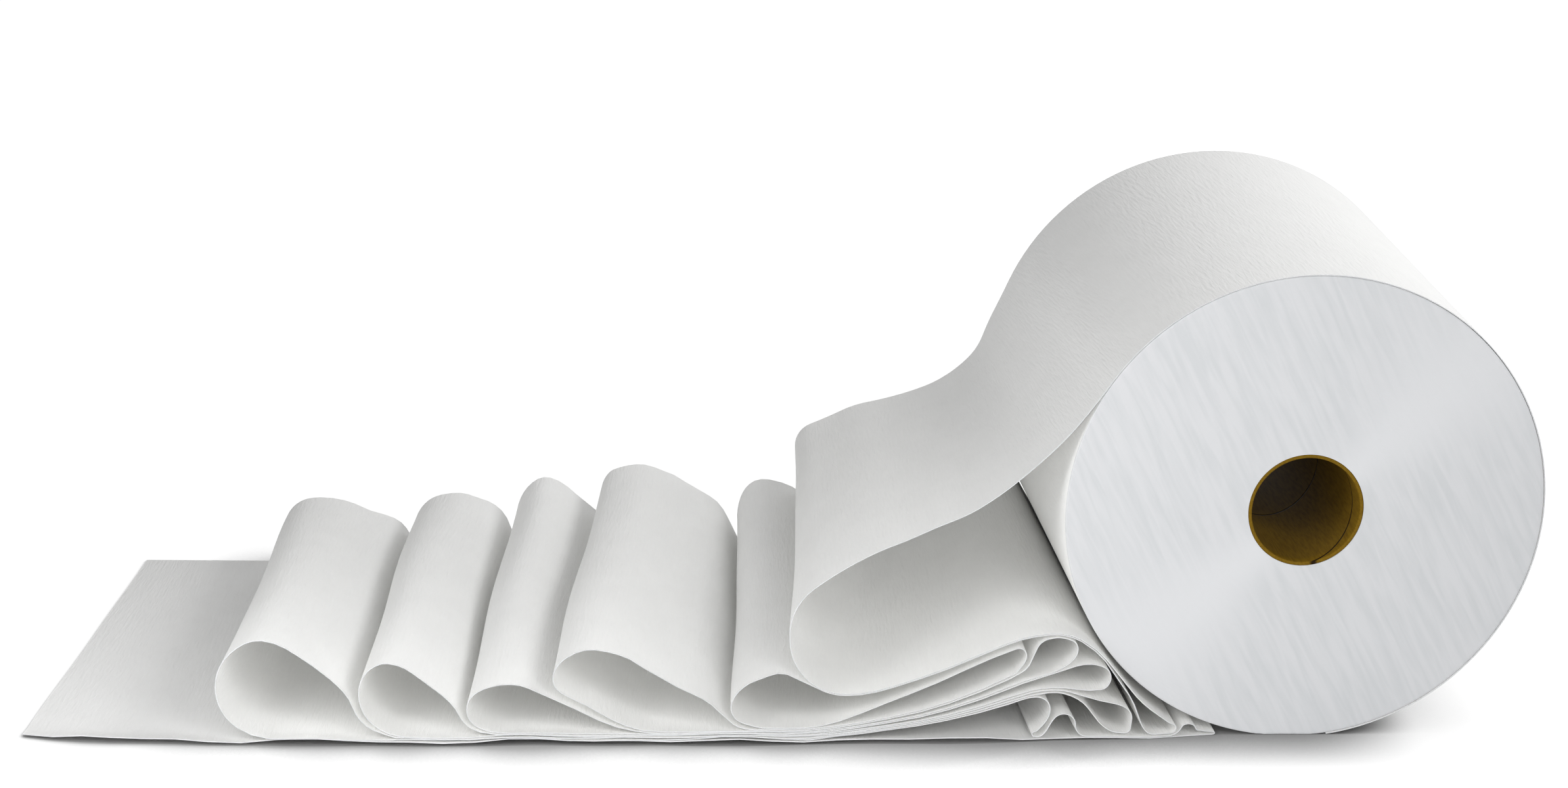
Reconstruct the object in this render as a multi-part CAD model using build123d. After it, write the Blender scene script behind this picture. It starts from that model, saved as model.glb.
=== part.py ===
from build123d import *
import os
from math import atan, atan2, cos, degrees, radians, sin, sqrt, tan

os.makedirs("parts", exist_ok=True)

# A wound roll of paper towel lying on its side, with a few metres of its web pulled off
# the roll and laid in loose folds beside it. Sizes are in millimetres. X runs back along
# the tail, Y along the roll's axis and Z up from the floor under the roll's flat spot.

# Roll and core
roll_diameter = 198.0
roll_width = 203.0
core_bore = 44.5
core_wall = 1.5
flat_spot_half = 12.0

# Web
web_thickness = 0.35
layer_slack = 0.25
leave_angle = 156.0
tail_reach = 443.0
free_end_skew = 29.0
trim_allowance = 3.0

# Lowest height on the roll's side that a tucked fold is measured from
toe_height = 4.0

# Fan of stacked layers that rise towards the roll: where it starts and ends, and how high
# each layer is at its end, counted from the one next to the floor
fan_size = {"start": 130.0, "end": 48.0}
fan_heights = {1: 16.2, 2: 17.3, 3: 18.4, 4: 19.5, 5: 23.2, 6: 24.3, 7: 27.6, 8: 28.9}

# Loose loops, from the flat free end (1) to the one beside the roll (5). Each gives the
# foot where its upper layer rises from the stack, a point and heading where it passes the
# nose of the next loop, one on its back, its top, its nose, a point where it leans on the
# loop before it, and where its lower layer lands.
loops = {
    1: {"foot": 284, "rise": (305.7, 14.0, 110), "back": (315, 25.2, 145), "top": (341, 36.5),
        "nose": (360, 20.0), "base": 332},
    2: {"foot": 241, "rise": (262.3, 12.5, 112), "back": (272.5, 24.0, 147), "top": (292, 33.0),
        "nose": (303.5, 20.0), "base": 284},
    3: {"foot": 182, "back": (224, 20.0, 152), "top": (245, 28.5), "nose": (259.5, 16.0), "base": 241},
    4: {"foot": 143, "rise": (156.5, 15.5, 124), "back": (180, 31.3, 149), "top": (206, 41.0),
        "nose": (223.5, 29.0), "lean": (217, 20.4, -28), "base": 180},
    5: {"back": (122, 26.3, 150), "top": (137.5, 31.5), "nose": (152, 17.5), "base": 135},
}

# Derived sizes
roll_radius = roll_diameter / 2
inner_turn_radius = roll_radius - web_thickness - layer_slack
axis_height = sqrt(inner_turn_radius**2 - flat_spot_half**2)
core_radius = core_bore / 2 + core_wall
layer_pitch = web_thickness + layer_slack
left, right, down = 180, 0, -90


def unit(heading):
    """Direction of a heading in degrees, as a complex number in the XZ plane."""
    return complex(cos(radians(heading)), sin(radians(heading)))


def dot(a, b):
    return (a * b.conjugate()).real


def roll_side(height):
    """X of the roll's left side at a height, no lower than the toe of its curve."""
    return -sqrt(roll_radius**2 - (axis_height - max(height, toe_height)) ** 2)


# A station of the web's route is a point in the XZ plane and a heading there
def beside(gap, height, heading):
    """Station a gap away from the roll's side at its own height."""
    return complex(roll_side(height) - gap, height), heading


def out(distance, height, heading):
    """Station out along the tail, measured from the roll's side at the height of the fan."""
    return complex(roll_side(fan_heights[7]) - distance, height), heading


def layer(number):
    """Height of the middle of a layer in the flat stack, with 0 on the floor."""
    return web_thickness / 2 + number * layer_pitch


def below(station, layers):
    """The same station, so many layers deeper."""
    point, heading = station
    return point - 1j * unit(heading) * layers * layer_pitch, heading


def turned(stations):
    """Stations in the opposite order, travelled the other way."""
    return [(point, heading + 180) for point, heading in reversed(stations)]


def fan(number):
    """Stations of one layer as it rises out of the stack towards the roll."""
    run = fan_size["start"] - fan_size["end"]
    lift = fan_heights[number] - layer(number)
    stations = []
    for share in (0, 0.5, 1):
        slope = degrees(atan(2 * share * lift / run))
        distance = fan_size["start"] - share * run
        stations.append(out(distance, layer(number) + lift * share**2, slope))
    return stations


def loop(number):
    """Stations over a loop's back, round its nose and down to its lower layer."""
    size = loops[number]
    stations = []
    if "foot" in size:
        stations.append(out(size["foot"], layer(2 * number), left))
    if "rise" in size:
        stations.append(out(*size["rise"]))
    stations.append(out(*size["back"]))
    stations.append(out(*size["top"], left))
    stations.append(out(*size["nose"], down))
    if "lean" in size:
        stations.append(out(*size["lean"]))
    stations.append(out(size["base"], layer(2 * number - 1), right))
    return stations


# The web leaves the roll, drops in a wide loop and runs over a hump to be tucked under the roll
leave_point = 1j * axis_height + (roll_radius - web_thickness / 2) * unit(leave_angle)
drop = [(leave_point, leave_angle + 90), out(64, 92.0, 208), out(101, 74.5, 208), out(129, 46.0, down)]
hump = [out(106, 21.5, right), out(70, 34.3, 26), out(32, 47.0, right), beside(2.0, 34.8, -49)]
tuck = [beside(5.6, 18.6, -48), beside(11.3, 7.0, -36), beside(15.2, 3.9, down)]
heel = [beside(18.0, 1.85, left), beside(24.5, 1.85, left), beside(22.7, 7.0, 108), beside(6.3, 22.3, 130)]
under_hump = turned([below(station, 1) for station in hump[:3]] + [below(hump[3], 1.3)])

# Small folds at the tucked ends of the layers, in the order that the web passes through them
fold_under_hump = [out(108, layer(9) + 3.3, 23), out(55, 37.3, 27), out(42, 37.6, down), out(45.5, 30.6, 232)]
fold_at_crest = [
    out(40, 35.0, 73),
    out(33, 44.6, 10),
    out(28, 44.9, -8),
    out(20.8, 39.5, down),
    out(26, 32.2, 212),
]
fold_at_brow = [
    out(27, 30.4, 20),
    out(14.5, 33.0, -5),
    out(6.3, 26.8, down),
    out(10, 21.9, 188),
    out(30, 23.2, left),
]
fold_in_middle = [
    out(30, 22.1, right),
    beside(26.4, 19.0, -20),
    beside(18.6, 15.6, -12),
    beside(22.7, 8.8, down),
    beside(37.0, 2.4, left),
    beside(43.5, 3.8, 150),
    beside(32.1, 14.0, 128),
    out(25, 20.3, 163),
    out(31.5, 21.0, 184),
]
curl_and_bump = [
    out(37, 19.2, right),
    out(30.7, 13.5, down),
    out(35.5, 4.3, 225),
    out(37.8, 2.7, down),
    out(35.6, layer(1) + 0.5, right),
    out(31, 5.5, 68),
    out(25, 11.5, right),
    out(19.8, 6.5, down),
    out(14.5, layer(1), right),
]
toe_fold = [
    beside(18.0, layer(1), right),
    beside(12.9, 4.0, 65),
    beside(6.1, 5.4, -5),
    beside(6.6, 3.2, -75),
    beside(4.0, 2.0, -10),
    beside(-0.5, layer(2), right),
    beside(-1.6, (layer(2) + layer(0)) / 2, down),
    beside(-0.5, layer(0), left),
]
free_end = [out(tail_reach + trim_allowance, layer(0), left)]

route = drop + hump + tuck + heel + under_hump
route += loop(5) + fold_under_hump + turned(fan(8))
route += loop(4) + fan(7) + fold_at_crest + turned(fan(6))
route += loop(3) + fan(5) + fold_at_brow + turned(fan(4))
route += loop(2) + fan(3) + fold_in_middle + turned(fan(2))
route += loop(1) + fan(1) + curl_and_bump + toe_fold + free_end


def turn(start, heading, end):
    """Degrees that an arc turns through when it leaves start at a heading and ends at end."""
    chord = (end - start) / unit(heading)
    return 2 * degrees(atan2(chord.imag, chord.real))


def meeting_point(start, start_heading, end, end_heading):
    """Where two tangent arcs meet, one leaving start and the other arriving at end."""
    ahead, behind = unit(start_heading), unit(end_heading)
    chord = end - start
    a = 2 * (1 - dot(ahead, behind))
    b = 2 * dot(chord, ahead + behind)
    if a < 1e-9:
        reach = abs(chord) ** 2 / b
    else:
        reach = (sqrt(b**2 + 4 * a * abs(chord) ** 2) - b) / (2 * a)
    return (start + reach * ahead + end - reach * behind) / 2


def route_arcs(stations):
    """The route as tangent arcs, each a start, a heading there and an end."""
    arcs = []
    for (start, start_heading), (end, end_heading) in zip(stations, stations[1:]):
        middle = meeting_point(start, start_heading, end, end_heading)
        arcs.append((start, start_heading, middle))
        arcs.append((middle, start_heading + turn(start, start_heading, middle), end))
    return arcs


def at(point):
    return Vector(point.real, 0, point.imag)


def web_face(arc, offset):
    """Edge of one face of the web along an arc, offset to the left of its heading."""
    start, heading, end = arc
    angle = turn(start, heading, end)
    chord = end - start
    middle = (start + end) / 2 - 0.5j * chord * tan(radians(angle / 4))
    aside = 1j * offset * unit(heading)
    points = [
        start + aside,
        middle + aside * unit(angle / 2),
        end + aside * unit(angle),
    ]
    if abs(angle) < 0.01:
        return Edge.make_line(at(points[0]), at(points[2]))
    return Edge.make_three_point_arc(*[at(point) for point in points])


def on_turn(radius, angle):
    """Point on a turn of the roll."""
    return at(1j * axis_height + radius * unit(angle))


def web_outline():
    """Section of the wound turns and the tail as one closed outline."""
    arcs = route_arcs(route)
    outer = [web_face(arc, -web_thickness / 2) for arc in arcs]
    inner = [web_face(arc, web_thickness / 2) for arc in arcs]
    cap = Edge.make_line(outer[-1] @ 1, inner[-1] @ 1)
    flat_right = sqrt(roll_radius**2 - axis_height**2)
    flat_left_point = Vector(-flat_spot_half, 0, 0)
    flat_right_point = Vector(flat_right, 0, 0)
    under_turn = on_turn(inner_turn_radius, leave_angle)
    step = Edge.make_line(inner[0] @ 0, under_turn)
    lower_left = on_turn(inner_turn_radius, (leave_angle + 270) / 2)
    left_turn = Edge.make_three_point_arc(under_turn, lower_left, flat_left_point)
    flat_spot = Edge.make_line(flat_left_point, flat_right_point)
    top_turn = Edge.make_three_point_arc(flat_right_point, on_turn(roll_radius, 0), outer[0] @ 0)
    return Wire(outer + [cap] + inner[::-1] + [step, left_turn, flat_spot, top_turn])


def along_axis(radius):
    """Round bar along the roll's axis, as long as the roll is wide."""
    return Pos(0, 0, axis_height) * Rot(90, 0, 0) * Cylinder(radius, roll_width)


def free_end_offcut():
    """What the slanted cut across the free end takes off the bottom layer."""
    half = roll_width / 2 + trim_allowance
    near = out(tail_reach, 0, left)[0].real
    slope = free_end_skew / roll_width
    cut_start = near - slope * trim_allowance
    cut_end = near + slope * (roll_width + trim_allowance)
    beyond = near - 3 * trim_allowance
    corners = [(beyond, -half), (cut_start, -half), (cut_end, half), (beyond, half)]
    height = web_thickness + layer_slack
    plan = make_face(Polyline(*corners, close=True))
    return extrude(Pos(0, 0, -layer_slack / 2) * plan, amount=height)


def paper_web():
    section = Face(web_outline())
    web = extrude(section, amount=roll_width / 2, dir=(0, 1, 0), both=True)
    return web - along_axis(core_radius) - free_end_offcut()


def core():
    return along_axis(core_radius) - along_axis(core_bore / 2)


export_step(paper_web(), "parts/paper_web.step")
export_step(core(), "parts/core.step")

tail_arcs = [web_face(arc, 0) for arc in route_arcs(route)]
print("loose tail", round(sum(arc.length for arc in tail_arcs) - trim_allowance), "mm long")
print("roll axis", round(axis_height, 3), "mm above the floor")
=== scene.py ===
import bpy
import math
import numpy as np
from mathutils import Matrix


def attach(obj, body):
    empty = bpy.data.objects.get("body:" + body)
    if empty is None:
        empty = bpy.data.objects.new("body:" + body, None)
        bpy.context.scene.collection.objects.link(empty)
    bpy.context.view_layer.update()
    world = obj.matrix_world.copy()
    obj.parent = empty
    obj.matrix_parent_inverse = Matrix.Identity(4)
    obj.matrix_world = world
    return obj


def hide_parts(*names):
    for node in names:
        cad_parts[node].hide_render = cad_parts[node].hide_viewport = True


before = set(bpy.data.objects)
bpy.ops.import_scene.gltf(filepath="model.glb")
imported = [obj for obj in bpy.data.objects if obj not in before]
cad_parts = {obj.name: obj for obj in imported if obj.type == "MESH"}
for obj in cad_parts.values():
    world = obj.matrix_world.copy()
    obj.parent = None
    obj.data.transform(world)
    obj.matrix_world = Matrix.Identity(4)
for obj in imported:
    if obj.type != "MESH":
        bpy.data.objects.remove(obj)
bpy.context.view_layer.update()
mm = 0.001
print("frame loaded:", sorted(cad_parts))

# sizes that the roll, the core and the loose web share, in millimetres
rollSize = {
    "radius": 99.0,
    "width": 203.0,
    "axisHeight": 97.666,
    "coreBore": 22.25,  # radius
    "coreWall": 1.5,
    "web": 0.35,
    "slack": 0.25,
}
axisHeight = rollSize["axisHeight"]
halfWidth = rollSize["width"] / 2


def linear(hexColour):
    channels = [int(hexColour[i:i + 2], 16) / 255 for i in (1, 3, 5)]
    curve = [c / 12.92 if c <= 0.04045 else ((c + 0.055) / 1.055) ** 2.4 for c in channels]
    return (*curve, 1.0)


def newMaterial(name):
    material = bpy.data.materials.new(name)
    material.use_nodes = True
    material.node_tree.nodes.clear()
    return material


def addNode(material, kind, inputs=None, **settings):
    tree = material.node_tree
    node = tree.nodes.new(kind)
    for name, value in settings.items():
        setattr(node, name, value)
    for socket, value in (inputs or {}).items():
        if isinstance(value, bpy.types.NodeSocket):
            tree.links.new(value, node.inputs[socket])
        else:
            node.inputs[socket].default_value = value
    return node


def mathNode(material, operation, *values):
    node = addNode(material, "ShaderNodeMath", dict(enumerate(values)), operation=operation)
    return node.outputs["Value"]


def mapped(material, vector, place):
    return addNode(material, "ShaderNodeMapping", {"Vector": vector, **place}).outputs["Vector"]


def partsOf(material, vector):
    return addNode(material, "ShaderNodeSeparateXYZ", {"Vector": vector}).outputs


def lengthOf(material, vector):
    return addNode(material, "ShaderNodeVectorMath", {0: vector}, operation="LENGTH").outputs["Value"]


def noiseNode(material, vector, detail, roughness, distortion=0.0, dimensions="3D"):
    node = addNode(material, "ShaderNodeTexNoise", {
        "Vector": vector, "Scale": 1.0, "Detail": detail, "Roughness": roughness, "Distortion": distortion,
    }, noise_dimensions=dimensions)
    return node.outputs["Fac"]


def toneRamp(material, share, stops):
    node = addNode(material, "ShaderNodeValToRGB", {"Fac": share})
    for element, (position, colour) in zip(node.color_ramp.elements, stops):
        element.position = position
        element.color = linear(colour)
    return node.outputs["Color"]


def blended(material, share, first, second):
    node = addNode(material, "ShaderNodeMix", {"Factor": share, "A": first, "B": second}, data_type="RGBA")
    return node.outputs["Result"]


def smoothStep(material, value, span, low, high):
    node = addNode(material, "ShaderNodeMapRange", {
        "Value": value, "From Min": span[0], "From Max": span[1], "To Min": low, "To Max": high,
    }, interpolation_type="SMOOTHSTEP")
    return node.outputs["Result"]


def bumpNode(material, height, strength, distance, normal=None, invert=False):
    inputs = {"Height": height, "Strength": strength, "Distance": distance}
    if normal is not None:
        inputs["Normal"] = normal
    return addNode(material, "ShaderNodeBump", inputs, invert=invert).outputs["Normal"]


def mattShader(material, settings, colour, normal):
    node = addNode(material, "ShaderNodeBsdfPrincipled", {
        "Base Color": colour,
        "Roughness": settings["roughness"],
        "IOR": settings["ior"],
        "Specular IOR Level": settings["shine"],
        "Normal": normal,
    })
    return node.outputs["BSDF"]


def finished(material, surface):
    addNode(material, "ShaderNodeOutputMaterial", {"Surface": surface})
    return material


# creped tissue, doctored off a drying cylinder: a soft matt white with short ridges that run
# across the web and a faint cloudiness where the fibres lie thicker. Where the web is off the roll,
# light comes through it, so that the insides of the folds glow
tissue = {
    "colour": "#f5f5f4",
    "cloudColour": "#f3f3f2",
    "cloudStops": (0.35, 0.68),
    "crepeSpacing": 1.3 * mm,  # real ridges are about 0.4 mm apart, too fine to show, so drawn coarser
    "crepeLength": 9 * mm,
    "crepeHeight": 0.28 * mm,
    "crepeNoise": {"detail": 2.0, "roughness": 0.55, "distortion": 0.25, "dimensions": "2D"},
    "cloudSize": 14 * mm,
    "cloudSquash": 0.6,  # clouds are longer across the web
    "cloudNoise": {"detail": 5.0, "roughness": 0.6, "dimensions": "2D"},
    "dotSpacing": 3.2 * mm,  # light embossing of the plies
    "dotSlant": 45.0,
    "dotHeight": 0.05 * mm,
    "dotStrength": 0.5,
    "roughness": 0.92,
    "ior": 1.45,
    "shine": 0.2,
    "lightThrough": 0.22,
    "offTheRoll": (0.40, 0.52),  # metres along the web where it leaves the turns under it
}


def makeTissue():
    m = newMaterial("crepedTissue")
    s = tissue
    lay = addNode(m, "ShaderNodeUVMap", uv_map="webLay").outputs["UV"]  # metres along the web and across it
    crepeLay = mapped(m, lay, {"Scale": (1 / s["crepeSpacing"], 1 / s["crepeLength"], 1.0)})
    crepe = noiseNode(m, crepeLay, **s["crepeNoise"])
    cloudLay = mapped(m, lay, {"Scale": (1 / s["cloudSize"], s["cloudSquash"] / s["cloudSize"], 1.0)})
    cloud = noiseNode(m, cloudLay, **s["cloudNoise"])
    dotLay = mapped(m, lay, {
        "Rotation": (0, 0, math.radians(s["dotSlant"])),
        "Scale": (1 / s["dotSpacing"], 1 / s["dotSpacing"], 1.0),
    })
    dots = addNode(m, "ShaderNodeTexVoronoi", {
        "Vector": dotLay, "Scale": 1.0, "Randomness": 0.0,
    }, voronoi_dimensions="2D", feature="F1").outputs["Distance"]
    tone = toneRamp(m, cloud, zip(s["cloudStops"], (s["cloudColour"], s["colour"])))
    dotNormal = bumpNode(m, dots, s["dotStrength"], s["dotHeight"])
    normal = bumpNode(m, crepe, 1.0, s["crepeHeight"], dotNormal)
    front = mattShader(m, s, tone, normal)
    loose = smoothStep(m, partsOf(m, lay)["X"], s["offTheRoll"], 0.0, s["lightThrough"])
    # light that has entered the ply leaves it by its other face
    inside = addNode(m, "ShaderNodeNewGeometry").outputs["Backfacing"]
    passing = mathNode(m, "MAXIMUM", loose, inside)
    through = addNode(m, "ShaderNodeBsdfTranslucent", {"Color": tone, "Normal": normal}).outputs["BSDF"]
    ply = addNode(m, "ShaderNodeMixShader", {0: passing, 1: front, 2: through}).outputs["Shader"]
    return finished(m, ply)


# the same tissue sawn across all the wound turns: the cut edges trap some light, so the face is a
# cool pale grey with steep soft streaks from the log saw and faint rings. Two lighter fans across
# the core are a painted sheen, standing in for the highlight off the turned edges
sawnEnd = {
    "colour": "#d1d2d4",
    "streakColour": "#caccce",
    "streakStops": (0.34, 0.62),
    # painted sheen: a lighter tone in two fans, in place of the highlight off the turned edges
    "paintedSheenColour": "#d6d7d9",
    "paintedSheenDirection": 43.0,
    "paintedSheenSharpness": 9.0,
    "ringSpacing": 1.4 * mm,  # turns are about 0.12 mm apart and too fine to show, so drawn in groups
    "ringDepth": 0.05 * mm,
    "ringStrength": 0.8,
    "streakSpacing": 3.4 * mm,
    "streakLength": 34 * mm,
    "streakSlant": 62.0,
    "streakNoise": {"detail": 2.0, "roughness": 0.5, "distortion": 0.4},
    "streakDepth": 0.16 * mm,
    "streakStrength": 0.7,
    "roughness": 0.9,
    "ior": 1.45,
    "shine": 0.2,
}


def makeSawnEnd():
    m = newMaterial("sawnTissueTurns")
    s = sawnEnd
    place = addNode(m, "ShaderNodeTexCoord").outputs["Object"]
    centred = mapped(m, place, {"Location": (0, 0, -axisHeight * mm)})
    flat = mapped(m, centred, {"Scale": (1, 0, 1)})
    rings = addNode(m, "ShaderNodeTexNoise", {
        "W": mathNode(m, "MULTIPLY", lengthOf(m, flat), 1 / s["ringSpacing"]),
        "Scale": 1.0, "Detail": 3.0, "Roughness": 0.7,
    }, noise_dimensions="1D").outputs["Fac"]
    slanted = mapped(m, flat, {"Rotation": (0, math.radians(-s["streakSlant"]), 0)})
    streakLay = mapped(m, slanted, {"Scale": (1 / s["streakLength"], 1.0, 1 / s["streakSpacing"])})
    streaks = noiseNode(m, streakLay, **s["streakNoise"])
    streakTone = toneRamp(m, streaks, zip(s["streakStops"], (s["streakColour"], s["colour"])))
    # painted sheen: two fans, widest at the rim and opposite each other across the core
    sheenTurn = mapped(m, flat, {"Rotation": (0, math.radians(s["paintedSheenDirection"]), 0)})
    outward = addNode(m, "ShaderNodeVectorMath", {0: sheenTurn}, operation="NORMALIZE").outputs["Vector"]
    along = partsOf(m, outward)["X"]
    paintedSheenShare = mathNode(m, "POWER", mathNode(m, "MULTIPLY", along, along), s["paintedSheenSharpness"])
    tone = blended(m, paintedSheenShare, streakTone, linear(s["paintedSheenColour"]))
    streakNormal = bumpNode(m, streaks, s["streakStrength"], s["streakDepth"])
    normal = bumpNode(m, rings, s["ringStrength"], s["ringDepth"], streakNormal)
    return finished(m, mattShader(m, s, tone, normal))


# kraft board, slit and wound in a spiral on a mandrel: a dull brown with fine long fibres and a
# dark line where the plies butt together
kraft = {
    "colour": "#785d14",
    "fleckColour": "#664c0d",
    "fleckStops": (0.3, 0.6),
    "seamColour": "#241602",
    "seamPitch": 60 * mm,
    "seamSpan": (0.0035, 0.014),  # full and gone, as shares of the pitch
    "seamStart": 0.976,
    "seamDepth": 0.3 * mm,
    "fibreSize": 0.9 * mm,
    "fibreLength": 7 * mm,
    "fibreSlant": 35.0,
    "fibreNoise": {"detail": 3.0, "roughness": 0.6},
    "fibreDepth": 0.05 * mm,
    "fibreStrength": 0.5,
    "roughness": 0.8,
    "ior": 1.5,
    "shine": 0.12,
}


def makeKraft():
    m = newMaterial("spiralWoundKraftBoard")
    s = kraft
    place = addNode(m, "ShaderNodeTexCoord").outputs["Object"]
    parts = partsOf(m, place)
    height = mathNode(m, "SUBTRACT", parts["Z"], axisHeight * mm)
    angle = mathNode(m, "ARCTAN2", height, parts["X"])
    turn = mathNode(m, "MULTIPLY", angle, 1 / math.tau)
    lead = mathNode(m, "MULTIPLY", parts["Y"], 1 / s["seamPitch"])
    helix = mathNode(m, "SUBTRACT", lead, turn)
    phase = mathNode(m, "FRACT", mathNode(m, "ADD", helix, s["seamStart"]))
    gap = mathNode(m, "ABSOLUTE", mathNode(m, "SUBTRACT", phase, 0.5))
    seam = smoothStep(m, gap, s["seamSpan"], 1.0, 0.0)
    fibreLay = mapped(m, place, {
        "Rotation": (0, 0, math.radians(s["fibreSlant"])),
        "Scale": (1 / s["fibreSize"], 1 / s["fibreLength"], 1 / s["fibreSize"]),
    })
    fibres = noiseNode(m, fibreLay, **s["fibreNoise"])
    board = toneRamp(m, fibres, zip(s["fleckStops"], (s["fleckColour"], s["colour"])))
    tone = blended(m, seam, board, linear(s["seamColour"]))
    fibreNormal = bumpNode(m, fibres, s["fibreStrength"], s["fibreDepth"])
    normal = bumpNode(m, seam, 1.0, s["seamDepth"], fibreNormal, invert=True)
    return finished(m, mattShader(m, s, tone, normal))


tissueMaterial = makeTissue()
endMaterial = makeSawnEnd()
kraftMaterial = makeKraft()
print("materials made")


def meshPiece(name, points, faces, materials, faceSlots=None, sharpEdges=()):
    mesh = bpy.data.meshes.new(name)
    mesh.from_pydata([tuple(p) for p in points], [], faces)
    mesh.update(calc_edges=True)
    mesh.polygons.foreach_set("use_smooth", [True] * len(mesh.polygons))
    if faceSlots is not None:
        mesh.polygons.foreach_set("material_index", faceSlots)
    if sharpEdges:
        flags = mesh.attributes.new("sharp_edge", "BOOLEAN", "EDGE")
        wanted = set(sharpEdges)
        flags.data.foreach_set("value", [tuple(sorted(e.vertices)) in wanted for e in mesh.edges])
    for material in materials:
        mesh.materials.append(material)
    piece = bpy.data.objects.new(name, mesh)
    bpy.context.collection.objects.link(piece)
    return piece


# writes each point's place on the flat web, in metres along it and across it
def layOut(piece, lay):
    corner = np.empty(len(piece.data.loops), dtype=int)
    piece.data.loops.foreach_get("vertex_index", corner)
    piece.data.uv_layers.new(name="webLay").data.foreach_set("uv", lay[corner].ravel())


# turns a closed outline of radii and y about the roll's axis
def spunPoints(outline, count):
    points = []
    for r, y in outline:
        for k in range(count):
            a = math.tau * k / count
            z = max(axisHeight + r * math.sin(a), 0.0)  # what would sink into the floor lies flat on it
            points.append((r * math.cos(a) * mm, y * mm, z * mm))
    return points


def spunFaces(rows, count):
    faces = []
    for i in range(rows):
        j = (i + 1) % rows
        for k in range(count):
            n = (k + 1) % count
            faces.append((i * count + k, j * count + k, j * count + n, i * count + n))
    return faces


# wound turns: one soft body that has settled on a small flat, with its edges a little rounded
woundSize = {
    "segments": 192,
    "corePlay": 0.02,
    "edgeRound": 0.5,
    "edgeSteps": (30, 60, 90),
    "rimBand": 1.0,
    "endRings": 14,
    "sideRows": 14,
}


def makeWoundTurns():
    s = woundSize
    outer = rollSize["radius"] - rollSize["web"] - rollSize["slack"]
    inner = rollSize["coreBore"] + rollSize["coreWall"] + s["corePlay"]
    rim = outer - s["edgeRound"]
    near = [(r, -halfWidth) for r in np.linspace(inner, rim - s["rimBand"], s["endRings"])]
    near.append((rim, -halfWidth))
    for step in s["edgeSteps"]:
        a = math.radians(step)
        inward = s["edgeRound"] * (1 - math.sin(a))
        along = s["edgeRound"] * (1 - math.cos(a))
        near.append((outer - inward, -halfWidth + along))
    side = [(outer, y) for y in np.linspace(-halfWidth, halfWidth, s["sideRows"])[1:-1]]
    far = [(r, -y) for r, y in reversed(near)]
    outline = near + side + far
    rows, count = len(outline), s["segments"]
    slots = []
    for i in range(rows):
        sawn = i < len(near) - 1 or i >= rows - len(far)  # both end faces and the wall round the core
        slots += [int(sawn)] * count
    sharp = []
    for row in (0, rows - 1):
        for k in range(count):
            sharp.append(tuple(sorted((row * count + k, row * count + (k + 1) % count))))
    points = spunPoints(outline, count)
    materials = [tissueMaterial, endMaterial]
    piece = meshPiece("woundTurns", points, spunFaces(rows, count), materials, slots, sharp)
    spot = np.array(points)
    around = np.arctan2(spot[:, 0], spot[:, 2] - axisHeight * mm)  # the lay starts and ends under the roll
    layOut(piece, np.stack([around * outer * mm, spot[:, 1]], 1))
    return piece


wound = makeWoundTurns()
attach(wound, "root")
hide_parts("paper_web")
print("wound turns:", len(wound.data.polygons), "faces")


# core: a tube with slightly crushed lips at its two mouths
coreSize = {
    "segments": 128,
    "lip": 0.35,
    "lipCorner": 0.3,  # share of the lip
    "boreRows": 40,
    "outerRows": 4,
}


def makeCore():
    s = coreSize
    inner = rollSize["coreBore"]
    outer = inner + rollSize["coreWall"]
    lip = s["lip"]
    corner = s["lipCorner"] * lip
    reach = halfWidth - lip
    mouth = [  # the far mouth, from the bore outwards
        (inner + corner, halfWidth - corner),
        (inner + lip, halfWidth),
        (outer - lip, halfWidth),
        (outer - corner, halfWidth - corner),
    ]
    outline = [(inner, y) for y in np.linspace(-reach, reach, s["boreRows"])] + mouth
    outline += [(outer, y) for y in np.linspace(reach, -reach, s["outerRows"])]
    outline += [(r, -y) for r, y in reversed(mouth)]
    outline.reverse()  # so that the faces look outwards
    count = s["segments"]
    return meshPiece("kraftCore", spunPoints(outline, count), spunFaces(len(outline), count), [kraftMaterial])


core = makeCore()
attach(core, "root")
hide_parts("core")
print("core:", len(core.data.polygons), "faces")


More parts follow.
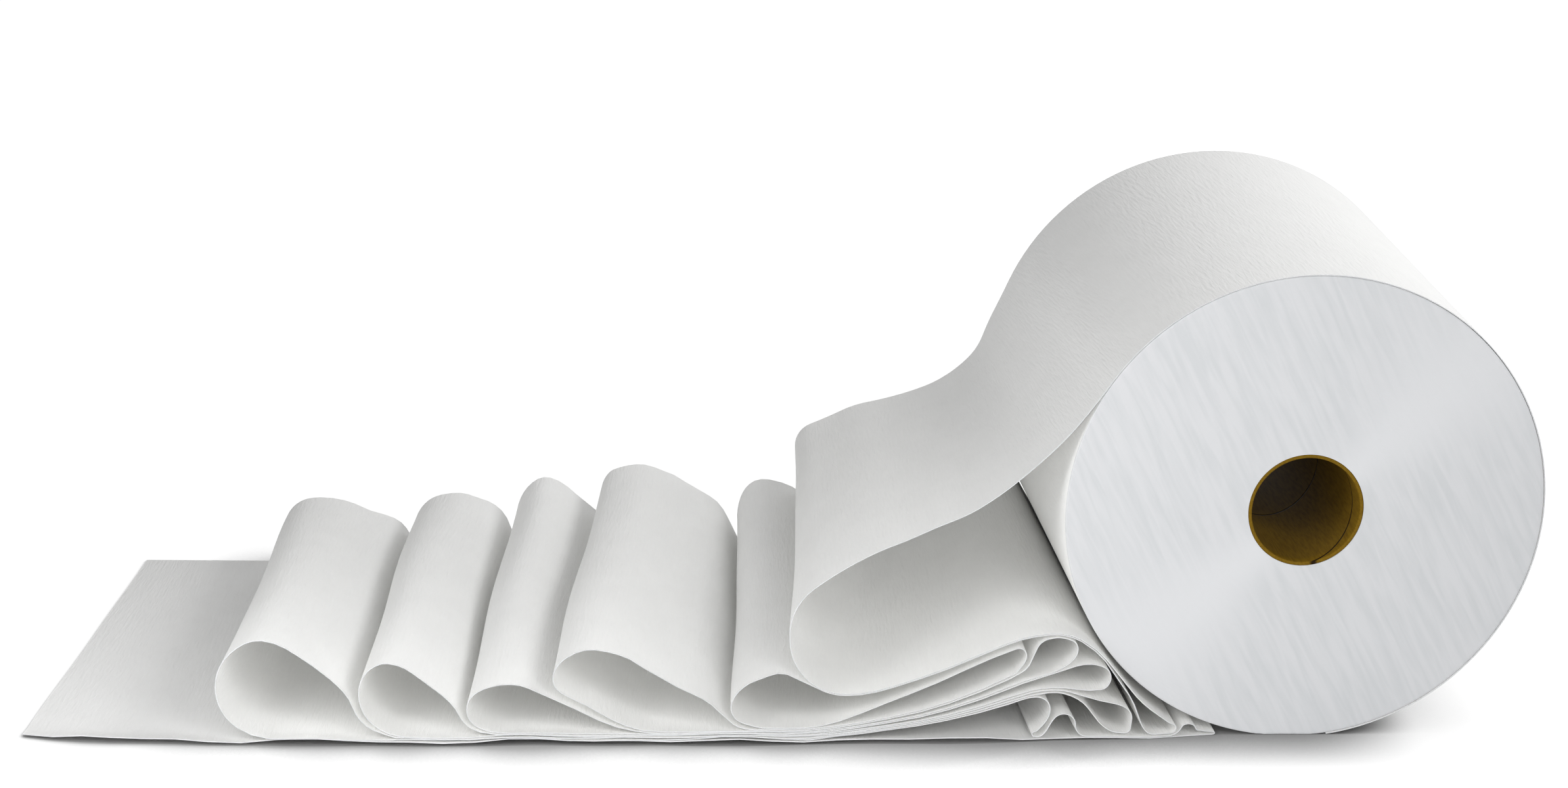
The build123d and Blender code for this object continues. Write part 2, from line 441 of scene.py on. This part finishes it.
# loose web: the outer turn, the drop beside the roll and the folds, in millimetres. A station
# is a point of the web's line seen along the roll's axis, with the heading there in degrees
webSize = {
    "columns": 27,
    "edgeColumns": (0.985, 0.96, 0.90),  # more of them beside the near edge, which curls off the floor
    "turnStep": 11.0,  # degrees of bend between rows
    "runStep": 14.0,  # longest straight run between rows
    "turnRows": 83,
    "dropRows": 7,
    "wrapStart": -80.4,  # where the outer turn comes out from under the roll
    "leave": (147.0, 158.0),  # near edge and far edge
    "drop": [  # near station, far station, how far the near edge has come forward
        ((-106.1, 121.3, 225), (-102.0, 109.0, 252), 0.3),
        ((-131.3, 99.8, 214), (-116.5, 91.2, 216), 1.0),
        ((-157.0, 87.6, 205), (-141.0, 80.4, 196), 2.5),
        ((-178.0, 78.6, 207), (-164.7, 73.3, 207), 4.0),
    ],
    # place along the web, shift of the near and far edges, height of the near and far edges as a share
    "lay": [
        (-513.4, 1.0, 36.9, 1.0, 1.0),
        (-460.0, -5.0, 18.0, 1.1, 0.9),
        (-430.0, -6.6, 17.3, 1.16, 0.86),
        (-413.0, -7.5, 14.0, 1.19, 0.84),
        (-392.0, -7.2, 15.2, 1.12, 0.85),
        (-378.0, -7.0, 17.5, 1.07, 0.95),
        (-367.0, -7.0, 19.0, 1.04, 0.99),
        (-320.0, -8.3, 19.0, 0.85, 1.46),
        (-293.0, -10.0, 21.0, 0.92, 1.17),
        (-281.0, -10.5, 19.5, 0.95, 1.13),
        (-265.0, -10.0, 17.3, 0.92, 1.14),
        (-252.0, -9.6, 16.0, 0.868, 1.205),
        (-238.0, -9.0, 14.0, 0.82, 1.29),
        (-226.0, -8.3, 12.4, 0.80, 1.34),
        (-213.0, -7.5, 10.5, 0.855, 1.30),
        (-199.0, -8.5, 14.5, 0.97, 1.235),
        (-165.0, -8.5, 13.0, 0.95, 1.03),
        (-140.0, -5.0, 9.0, 0.93, 1.06),
        (-115.0, 0.0, 1.0, 0.98, 1.22),
        (-90.0, 0.0, -5.1, 1.0, 1.32),
        (-76.0, 0.0, -6.7, 1.0, 1.32),
        (-55.0, 0.0, -5.0, 1.0, 1.20),
        (-20.0, 0.0, 0.0, 1.0, 1.0),
    ],
    "looseStart": 100.0,  # left of the axis, where the paper starts to sway
    "looseRun": 40.0,
    "sways": [(0.7, 2.6, 41.0), (0.3, 5.1, 23.0)],  # size, change across the web, length along it
    "swell": (0.02, 3.1, 33.0),
    # place along the web, how far the near edge has come forward
    "forward": [
        (-513.4, 0.0),
        (-460.0, 2.0),
        (-420.0, 6.0),
        (-100.0, 6.0),
        (-60.0, 4.5),
        (-30.0, 0.5),
        (-20.0, 0.0),
    ],
    "farForward": 0.15,  # share of it at the far edge
    "spread": 4.0,  # the lowest layers of the stack stand out at the near side
    "spreadHeight": 9.0,
    "spreadWave": (1.1, 19.0, 4.1),  # size, length along the web, change with height
    "endRun": 15.0,  # the free end itself doesn't spread
    "curl": 1.7,  # lift of the near edge
    "curlFrom": 0.875,  # place across the web
    "curlHeight": 12.0,
    "curlStart": 60.0,
    "curlRun": 60.0,
    "curlWaves": [(0.35, 13.0, 0.0), (0.25, 7.1, 1.0)],  # size, length along the web, start
    "toeHeight": 4.0,
    "stackOut": 130.0,
    "fanOut": 48.0,
    "fanHeights": {1: 16.2, 2: 17.3, 3: 18.4, 4: 19.5, 5: 23.2, 6: 24.3, 7: 27.6, 8: 28.9},
    "freeEnd": 443.0,
    # foot, point beside the next nose, point on the back, top, nose, point that leans, landing
    "loops": {
        1: (284, (305.7, 14.0, 110), (315, 25.2, 145), (341, 36.5), (360, 20.0), None, 332),
        2: (241, (262.3, 12.5, 112), (272.5, 24.0, 147), (292, 33.0), (303.5, 20.0), None, 284),
        3: (182, None, (224, 20.0, 152), (245, 28.5), (259.5, 16.0), None, 241),
        4: (143, (156.5, 15.5, 124), (180, 31.3, 149), (206, 41.0), (223.5, 29.0), (217, 20.4, -28), 180),
        5: (None, None, (122, 26.3, 150), (137.5, 31.5), (152, 17.5), None, 135),
    },
}
webRadius = rollSize["radius"] - rollSize["web"] / 2
left, right, down = 180, 0, -90


def unit(heading):
    return complex(math.cos(math.radians(heading)), math.sin(math.radians(heading)))


def rollSide(height):
    rise = axisHeight - max(height, webSize["toeHeight"])
    return -math.sqrt(rollSize["radius"] ** 2 - rise ** 2)


def beside(gap, height, heading):
    return complex(rollSide(height) - gap, height), heading


def out(distance, height, heading):
    return complex(rollSide(webSize["fanHeights"][7]) - distance, height), heading


def layer(number):
    return rollSize["web"] / 2 + number * (rollSize["web"] + rollSize["slack"])


def below(station, layers):
    point, heading = station
    return point - 1j * unit(heading) * layers * (rollSize["web"] + rollSize["slack"]), heading


def turned(stations):
    return [(point, heading + 180) for point, heading in reversed(stations)]


# a layer that leaves the stack and rises towards the roll
def fan(number):
    run = webSize["stackOut"] - webSize["fanOut"]
    lift = webSize["fanHeights"][number] - layer(number)
    stations = []
    for share in (0, 0.5, 1):
        slope = math.degrees(math.atan(2 * share * lift / run))
        stations.append(out(webSize["stackOut"] - share * run, layer(number) + lift * share ** 2, slope))
    return stations


def loop(number):
    foot, rise, back, top, nose, lean, base = webSize["loops"][number]
    stations = [out(foot, layer(2 * number), left)] if foot else []
    stations += [out(*rise)] if rise else []
    stations += [out(*back), out(*top, left), out(*nose, down)]
    stations += [out(*lean)] if lean else []
    return stations + [out(base, layer(2 * number - 1), right)]


def foldedRoute():
    # from the nose of the wide loop over the hump, down to the roll's foot and back under the hump
    hump = [out(106, 21.5, right), out(70, 34.3, 26), out(32, 47.0, right), beside(2.0, 34.8, -49)]
    route = [out(129, 46.0, down)] + hump
    route += [beside(5.6, 18.6, -48), beside(11.3, 7.0, -36), beside(15.2, 3.9, down)]
    route += [beside(18.0, 1.85, left), beside(24.5, 1.85, left)]
    route += [beside(22.7, 7.0, 108), beside(6.3, 22.3, 130)]
    route += turned([below(station, 1) for station in hump[:3]] + [below(hump[3], 1.3)])
    # out to each standing loop and back, with a fold near the roll between one loop and the next
    route += loop(5)
    route += [out(108, layer(9) + 3.3, 23), out(55, 37.3, 27), out(42, 37.6, down), out(45.5, 30.6, 232)]
    route += turned(fan(8)) + loop(4) + fan(7)
    route += [out(40, 35.0, 73), out(33, 44.6, 10), out(28, 44.9, -8)]
    route += [out(20.8, 39.5, down), out(26, 32.2, 212)]
    route += turned(fan(6)) + loop(3) + fan(5)
    route += [out(27, 30.4, 20), out(14.5, 33.0, -5), out(6.3, 26.8, down)]
    route += [out(10, 21.9, 188), out(30, 23.2, left)]
    route += turned(fan(4)) + loop(2) + fan(3)
    route += [out(30, 22.1, right), beside(26.4, 19.0, -20), beside(18.6, 15.6, -12)]
    route += [beside(22.7, 8.8, down), beside(37.0, 2.4, left), beside(43.5, 3.8, 150)]
    route += [beside(32.1, 14.0, 128), out(25, 20.3, 163), out(31.5, 21.0, 184)]
    route += turned(fan(2)) + loop(1) + fan(1)
    # tucked folds at the roll's foot, then along the floor to the free end
    route += [out(37, 19.2, right), out(30.7, 13.5, down), out(35.5, 4.3, 225), out(37.8, 2.7, down)]
    route += [out(35.6, layer(1) + 0.5, right), out(31, 5.5, 68), out(25, 11.5, right)]
    route += [out(19.8, 6.5, down), out(14.5, layer(1), right)]
    route += [beside(18.0, layer(1), right), beside(12.9, 4.0, 65), beside(6.1, 5.4, -5)]
    route += [beside(6.6, 3.2, -75), beside(4.0, 2.0, -10), beside(-0.5, layer(2), right)]
    route += [beside(-1.6, (layer(2) + layer(0)) / 2, down), beside(-0.5, layer(0), left)]
    return route + [out(webSize["freeEnd"], layer(0), left)]


# degrees that an arc turns, which starts with this heading and ends at this point
def bend(start, heading, end):
    chord = (end - start) / unit(heading)
    return 2 * math.degrees(math.atan2(chord.imag, chord.real))


# where two arcs meet that join one station smoothly to the next
def meetingPoint(start, startHeading, end, endHeading):
    ahead, behind = unit(startHeading), unit(endHeading)
    chord = end - start
    a = 2 * (1 - (ahead * behind.conjugate()).real)
    b = 2 * (chord * (ahead + behind).conjugate()).real
    if a < 1e-9:  # both headings are the same
        reach = abs(chord) ** 2 / b
    else:
        reach = (math.sqrt(b ** 2 + 4 * a * abs(chord) ** 2) - b) / (2 * a)
    return (start + reach * ahead + end - reach * behind) / 2


def arcsOf(stations):
    arcs = []
    for (start, heading), (end, endHeading) in zip(stations, stations[1:]):
        middle = meetingPoint(start, heading, end, endHeading)
        arcs.append((start, heading, middle))
        arcs.append((middle, heading + bend(start, heading, middle), end))
    return arcs


# evenly spaced points of an arc, without its end
def arcPoints(arc, count):
    start, heading, end = arc
    angle = bend(start, heading, end)
    points = []
    for k in range(count):
        share = k / count
        if abs(angle) < 0.01:  # as good as straight
            points.append(start + (end - start) * share)
        else:
            half = math.radians(angle / 2)
            chord = abs(end - start) * math.sin(half * share) / math.sin(half)
            points.append(start + chord * unit(heading + angle * share / 2))
    return points


def clamp(share):
    return min(max(share, 0.0), 1.0)


def smoothTable(table, x, column):
    for low, high in zip(table, table[1:]):
        if x <= high[0]:
            share = clamp((x - low[0]) / (high[0] - low[0]))
            share = share * share * (3 - 2 * share)
            return low[column] + (high[column] - low[column]) * share
    return table[-1][column]


# places of the columns, from -1 at the near edge to 1 at the far one
def acrossPlaces():
    even = np.linspace(-1, 1, webSize["columns"])
    return np.sort(np.append(even, [-a for a in webSize["edgeColumns"]]))


def mix(near, far, across):
    return near + (far - near) * (across + 1) / 2


# carries a point of the middle line out to one place across the web
def laidPoint(point, across):
    s = webSize
    x, z = point.real, point.imag
    shift = mix(smoothTable(s["lay"], x, 1), smoothTable(s["lay"], x, 2), across)
    lift = mix(smoothTable(s["lay"], x, 3), smoothTable(s["lay"], x, 4), across)
    loose = clamp((-x - s["looseStart"]) / s["looseRun"])
    for size, change, length in s["sways"]:
        shift += loose * size * math.sin(change * across + x / length)
    size, change, length = s["swell"]
    lift *= 1 + loose * size * math.sin(change * across + x / length)
    forward = smoothTable(s["forward"], x, 1) * mix(1.0, s["farForward"], across)
    low = max(0.0, 1 - z / s["spreadHeight"]) ** 2 * loose * clamp((x - s["lay"][0][0]) / s["endRun"])
    size, length, change = s["spreadWave"]
    forward += low * mix(1.0, 0.0, across) * (s["spread"] + size * math.sin(x / length + change * z))
    curl = s["curl"] * max(0.0, (-across - s["curlFrom"]) / (1 - s["curlFrom"])) ** 2
    curl *= max(0.0, 1 - z / s["curlHeight"]) ** 2 * clamp((-x - s["curlStart"]) / s["curlRun"])
    curl *= 1 + sum(size * math.sin(x / length + start) for size, length, start in s["curlWaves"])
    floor = rollSize["web"] / 2
    return x + shift, across * halfWidth - forward, floor + (z - floor) * lift + curl


def middleLine():
    arcs = arcsOf(foldedRoute())
    line = []
    for arc in arcs:
        byTurn = math.ceil(abs(bend(*arc)) / webSize["turnStep"])
        byRun = math.ceil(abs(arc[2] - arc[0]) / webSize["runStep"])
        line += arcPoints(arc, max(1, byTurn, byRun))
    return line + [arcs[-1][2]]


# the outer turn, from under the roll to where the web leaves it
def wrapPoints(across, leave):
    points = []
    for angle in np.linspace(webSize["wrapStart"], leave, webSize["turnRows"] + 1)[:-1]:
        spot = 1j * axisHeight + webRadius * unit(angle)
        points.append((spot.real, across * halfWidth, spot.imag))
    return points


# the drop beside the roll, from there to the nose of the wide loop
def dropPoints(across, leave, nose, noseHeading):
    s = webSize
    stations = [(1j * axisHeight + webRadius * unit(leave), leave + 90)]
    forwards = [0.0]
    for near, far, forward in s["drop"]:
        x, z, heading = (mix(a, b, across) for a, b in zip(near, far))
        stations.append((complex(x, z), heading))
        forwards.append(forward * mix(1.0, s["farForward"], across))
    stations.append((complex(nose[0], nose[2]), noseHeading))
    forwards.append(across * halfWidth - nose[1])
    points = []
    for k, arc in enumerate(arcsOf(stations)):  # two arcs from one station to the next
        low, high = forwards[k // 2], forwards[k // 2 + 1]
        for n, spot in enumerate(arcPoints(arc, s["dropRows"])):
            forward = low + (high - low) * (k % 2 + n / s["dropRows"]) / 2
            points.append((spot.real, across * halfWidth - forward, spot.imag))
    return points


def webColumn(across, middle):
    leave = mix(*webSize["leave"], across)
    nose, ahead = (laidPoint(point, across) for point in middle[:2])
    noseHeading = math.degrees(math.atan2(ahead[2] - nose[2], ahead[0] - nose[0])) % 360
    column = wrapPoints(across, leave) + dropPoints(across, leave, nose, noseHeading)
    return column + [laidPoint(point, across) for point in middle]


def makeLooseWeb():
    middle = middleLine()
    places = acrossPlaces()
    centre = np.array([webColumn(across, middle) for across in places])
    centre = centre.transpose(1, 0, 2)  # rows along the web, columns across it
    rows, columns = centre.shape[:2]
    normal = np.cross(np.gradient(centre, axis=0), np.gradient(centre, axis=1))
    normal /= np.linalg.norm(normal, axis=2, keepdims=True)
    half = rollSize["web"] / 2
    faceUp = (centre + normal * half).reshape(-1, 3)
    faceDown = (centre - normal * half).reshape(-1, 3)
    points = np.concatenate([faceUp, faceDown]) * mm
    step = rows * columns
    faces = []
    for i in range(rows - 1):
        for j in range(columns - 1):
            a = i * columns + j
            b, c, d = a + 1, a + columns + 1, a + columns
            faces.append((a, d, c, b))
            faces.append((a + step, b + step, c + step, d + step))
    slots = [0] * len(faces)
    border = list(range(columns))
    border += [i * columns + columns - 1 for i in range(1, rows)]
    border += [(rows - 1) * columns + j for j in range(columns - 2, -1, -1)]
    border += [i * columns for i in range(rows - 2, 0, -1)]
    sharp = []
    for a, b in zip(border, border[1:] + border[:1]):
        faces.append((a, b, b + step, a + step))
        slots.append(1 if a % columns == b % columns else 0)  # the saw cut both sides of the web
        sharp += [tuple(sorted((a, b))), tuple(sorted((a + step, b + step)))]
    piece = meshPiece("looseWeb", points, faces, [tissueMaterial, endMaterial], slots, sharp)
    stepLengths = np.linalg.norm(np.diff(centre[:, columns // 2], axis=0), axis=1)
    lengthAlong = np.append(0.0, np.cumsum(stepLengths))
    lay = np.stack([np.repeat(lengthAlong, columns), np.tile(places * halfWidth, rows)], 1) * mm
    layOut(piece, np.concatenate([lay, lay]))
    return piece, lengthAlong[-1]


looseWeb, webLength = makeLooseWeb()
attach(looseWeb, "root")
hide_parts("paper_web")
print("loose web:", len(looseWeb.data.polygons), "faces,", round(webLength), "mm long")


# floor: matt white paper sweep, shown as plain white to the camera apart from a painted shadow, where its
# glow is darkened by ambient occlusion near the paper
floorSize = {
    "side": 9.0,
    "sink": 0.0002,  # a hair below the paper
    "colour": "#d8d8d8",
    "shownColour": "#6c6c6c",
    "lift": 0.95,
    "middle": (-0.2, 0.0),
    "fadeReach": (0.75, 0.5),
    "fadeSpan": (0.75, 1.5),  # shares of the reach
    "darkness": 3.2,
    "paintedShadowFadeSpan": (0.0, 0.06),  # the painted shadow is made lighter by place, from x 0 to 0.06 m, towards the roll's right side
    "paintedShadowFadeDarkness": 0.35,
    "shadeReach": 0.04,  # how near the paper has to be to darken the glow, which paints the shadow on the sweep
    "shadeSamples": 12,
}


def makeFloor():
    s = floorSize
    half = s["side"] / 2
    corners = [(-half, -half, 0), (half, -half, 0), (half, half, 0), (-half, half, 0)]
    m = newMaterial("mattPaperSweep")
    rays = addNode(m, "ShaderNodeLightPath").outputs
    seen = mathNode(m, "MAXIMUM", rays["Is Camera Ray"], rays["Is Glossy Ray"])
    shown = mathNode(m, "MAXIMUM", seen, rays["Is Transmission Ray"])
    place = addNode(m, "ShaderNodeTexCoord").outputs["Object"]
    spread = mapped(m, place, {
        "Location": (-s["middle"][0] / s["fadeReach"][0], -s["middle"][1] / s["fadeReach"][1], 0),
        "Scale": (1 / s["fadeReach"][0], 1 / s["fadeReach"][1], 0),
    })
    level = smoothStep(m, lengthOf(m, spread), s["fadeSpan"], s["lift"], 1.0)
    clear = addNode(m, "ShaderNodeAmbientOcclusion", {"Distance": s["shadeReach"]}, samples=s["shadeSamples"])
    # painted shadow: the glow shown to the camera goes dark with ambient occlusion, less so to the roll's
    # right
    darkness = smoothStep(m, partsOf(m, place)["X"], s["paintedShadowFadeSpan"], s["darkness"], s["paintedShadowFadeDarkness"])
    depth = mathNode(m, "POWER", clear.outputs["AO"], darkness)
    glow = mathNode(m, "MULTIPLY", level, depth)
    sweep = addNode(m, "ShaderNodeBsdfDiffuse", {"Color": linear(s["colour"])}).outputs["BSDF"]
    shade = addNode(m, "ShaderNodeBsdfDiffuse", {"Color": linear(s["shownColour"])}).outputs["BSDF"]
    light = addNode(m, "ShaderNodeEmission", {"Color": (1, 1, 1, 1), "Strength": glow}).outputs["Emission"]
    white = addNode(m, "ShaderNodeAddShader", {0: shade, 1: light}).outputs["Shader"]
    both = addNode(m, "ShaderNodeMixShader", {0: shown, 1: sweep, 2: white}).outputs["Shader"]
    piece = meshPiece("floorSweep", corners, [(0, 1, 2, 3)], [finished(m, both)])
    piece.location.z = -s["sink"]
    return piece


makeFloor()
print("floor laid")


# soft studio light: a pale room, a high soft box in front, three small ones close in front that reach
# into the folds, one over the roll's right shoulder and one behind. Each has its place, the point that
# it faces, its width, its height and its power
lightSize = {
    "room": 0.2,
    "boxes": [
        ("softBoxHigh", (0.2, -0.85, 0.65), (-0.18, 0.0, 0.05), 0.5, 0.5, 4.0),
        ("softBoxLow", (-0.2, -0.5, 0.12), (-0.17, 0.0, 0.03), 0.4, 0.2, 0.51),
        ("softBoxFolds", (-0.45, -0.42, 0.35), (-0.33, -0.03, 0.02), 0.3, 0.3, 0.66),
        ("softBoxLeft", (-0.7, -0.32, 0.28), (-0.4, -0.02, 0.02), 0.3, 0.3, 1.41),
        ("softBoxRight", (0.4, 0.0, 0.6), (0.05, 0.0, 0.18), 0.3, 0.3, 1.96),
        ("softBoxBack", (0.1, 1.0, 0.3), (0.0, 0.1, 0.1), 0.6, 0.4, 4.0),
    ],
    "passes": 12,  # white plies pass light on many times, so it reaches deep into the folds
}


def standing(side, up, forward, place):
    return Matrix([[side[i], up[i], -forward[i], place[i]] for i in range(3)] + [[0, 0, 0, 1]])


def aimed(place, target):
    forward = np.array(target) - np.array(place)
    forward = forward / np.linalg.norm(forward)
    side = np.cross(forward, (0, 0, 1))
    side = side / np.linalg.norm(side)
    return standing(side, np.cross(side, forward), forward, place)


def makeLights():
    world = bpy.data.worlds.new("paleRoom")
    world.use_nodes = True
    world.node_tree.nodes.clear()
    room = addNode(world, "ShaderNodeBackground", {"Color": (1, 1, 1, 1), "Strength": lightSize["room"]})
    addNode(world, "ShaderNodeOutputWorld", {"Surface": room.outputs["Background"]})
    bpy.context.scene.world = world
    for name, place, target, width, height, power in lightSize["boxes"]:
        lamp = bpy.data.lights.new(name, "AREA")
        lamp.shape = "RECTANGLE"
        lamp.size = width
        lamp.size_y = height
        lamp.energy = power
        holder = bpy.data.objects.new(name, lamp)
        holder.matrix_world = aimed(place, target)
        bpy.context.collection.objects.link(holder)
    cycles = bpy.context.scene.cycles
    cycles.diffuse_bounces = lightSize["passes"]
    cycles.transmission_bounces = lightSize["passes"]
    cycles.max_bounces = 2 * lightSize["passes"]


makeLights()
print("lights set")


# camera: stands a little left of the roll and looks down on it, as the photograph was taken
cameraSize = {
    "place": (-377.0, -1517.6, 594.6),
    "down": 17.496,
    "towardsRoll": 6.557,
    "tilt": 2.433,
    "focal": 5771.2,  # in pixels of a frame 2387 wide
    "frameWidth": 2387,
    "sensor": 36.0,
    "clipStart": 0.05,
}


def makeCamera():
    s = cameraSize
    drop, turn, tilt = (math.radians(s[k]) for k in ("down", "towardsRoll", "tilt"))
    forward = np.array((math.sin(turn) * math.cos(drop), math.cos(turn) * math.cos(drop), -math.sin(drop)))
    level = np.array((math.cos(turn), -math.sin(turn), 0.0))
    upright = np.cross(level, forward)
    side = math.cos(tilt) * level + math.sin(tilt) * upright
    up = math.cos(tilt) * upright - math.sin(tilt) * level
    lens = bpy.data.cameras.new("photoCamera")
    lens.sensor_fit = "HORIZONTAL"
    lens.sensor_width = s["sensor"]
    lens.lens = s["sensor"] * s["focal"] / s["frameWidth"]
    lens.clip_start = s["clipStart"]
    holder = bpy.data.objects.new("photoCamera", lens)
    holder.matrix_world = standing(side, up, forward, np.array(s["place"]) * mm)
    bpy.context.collection.objects.link(holder)
    bpy.context.scene.camera = holder


makeCamera()
bpy.context.scene.view_settings.view_transform = "Standard"
print("camera set")
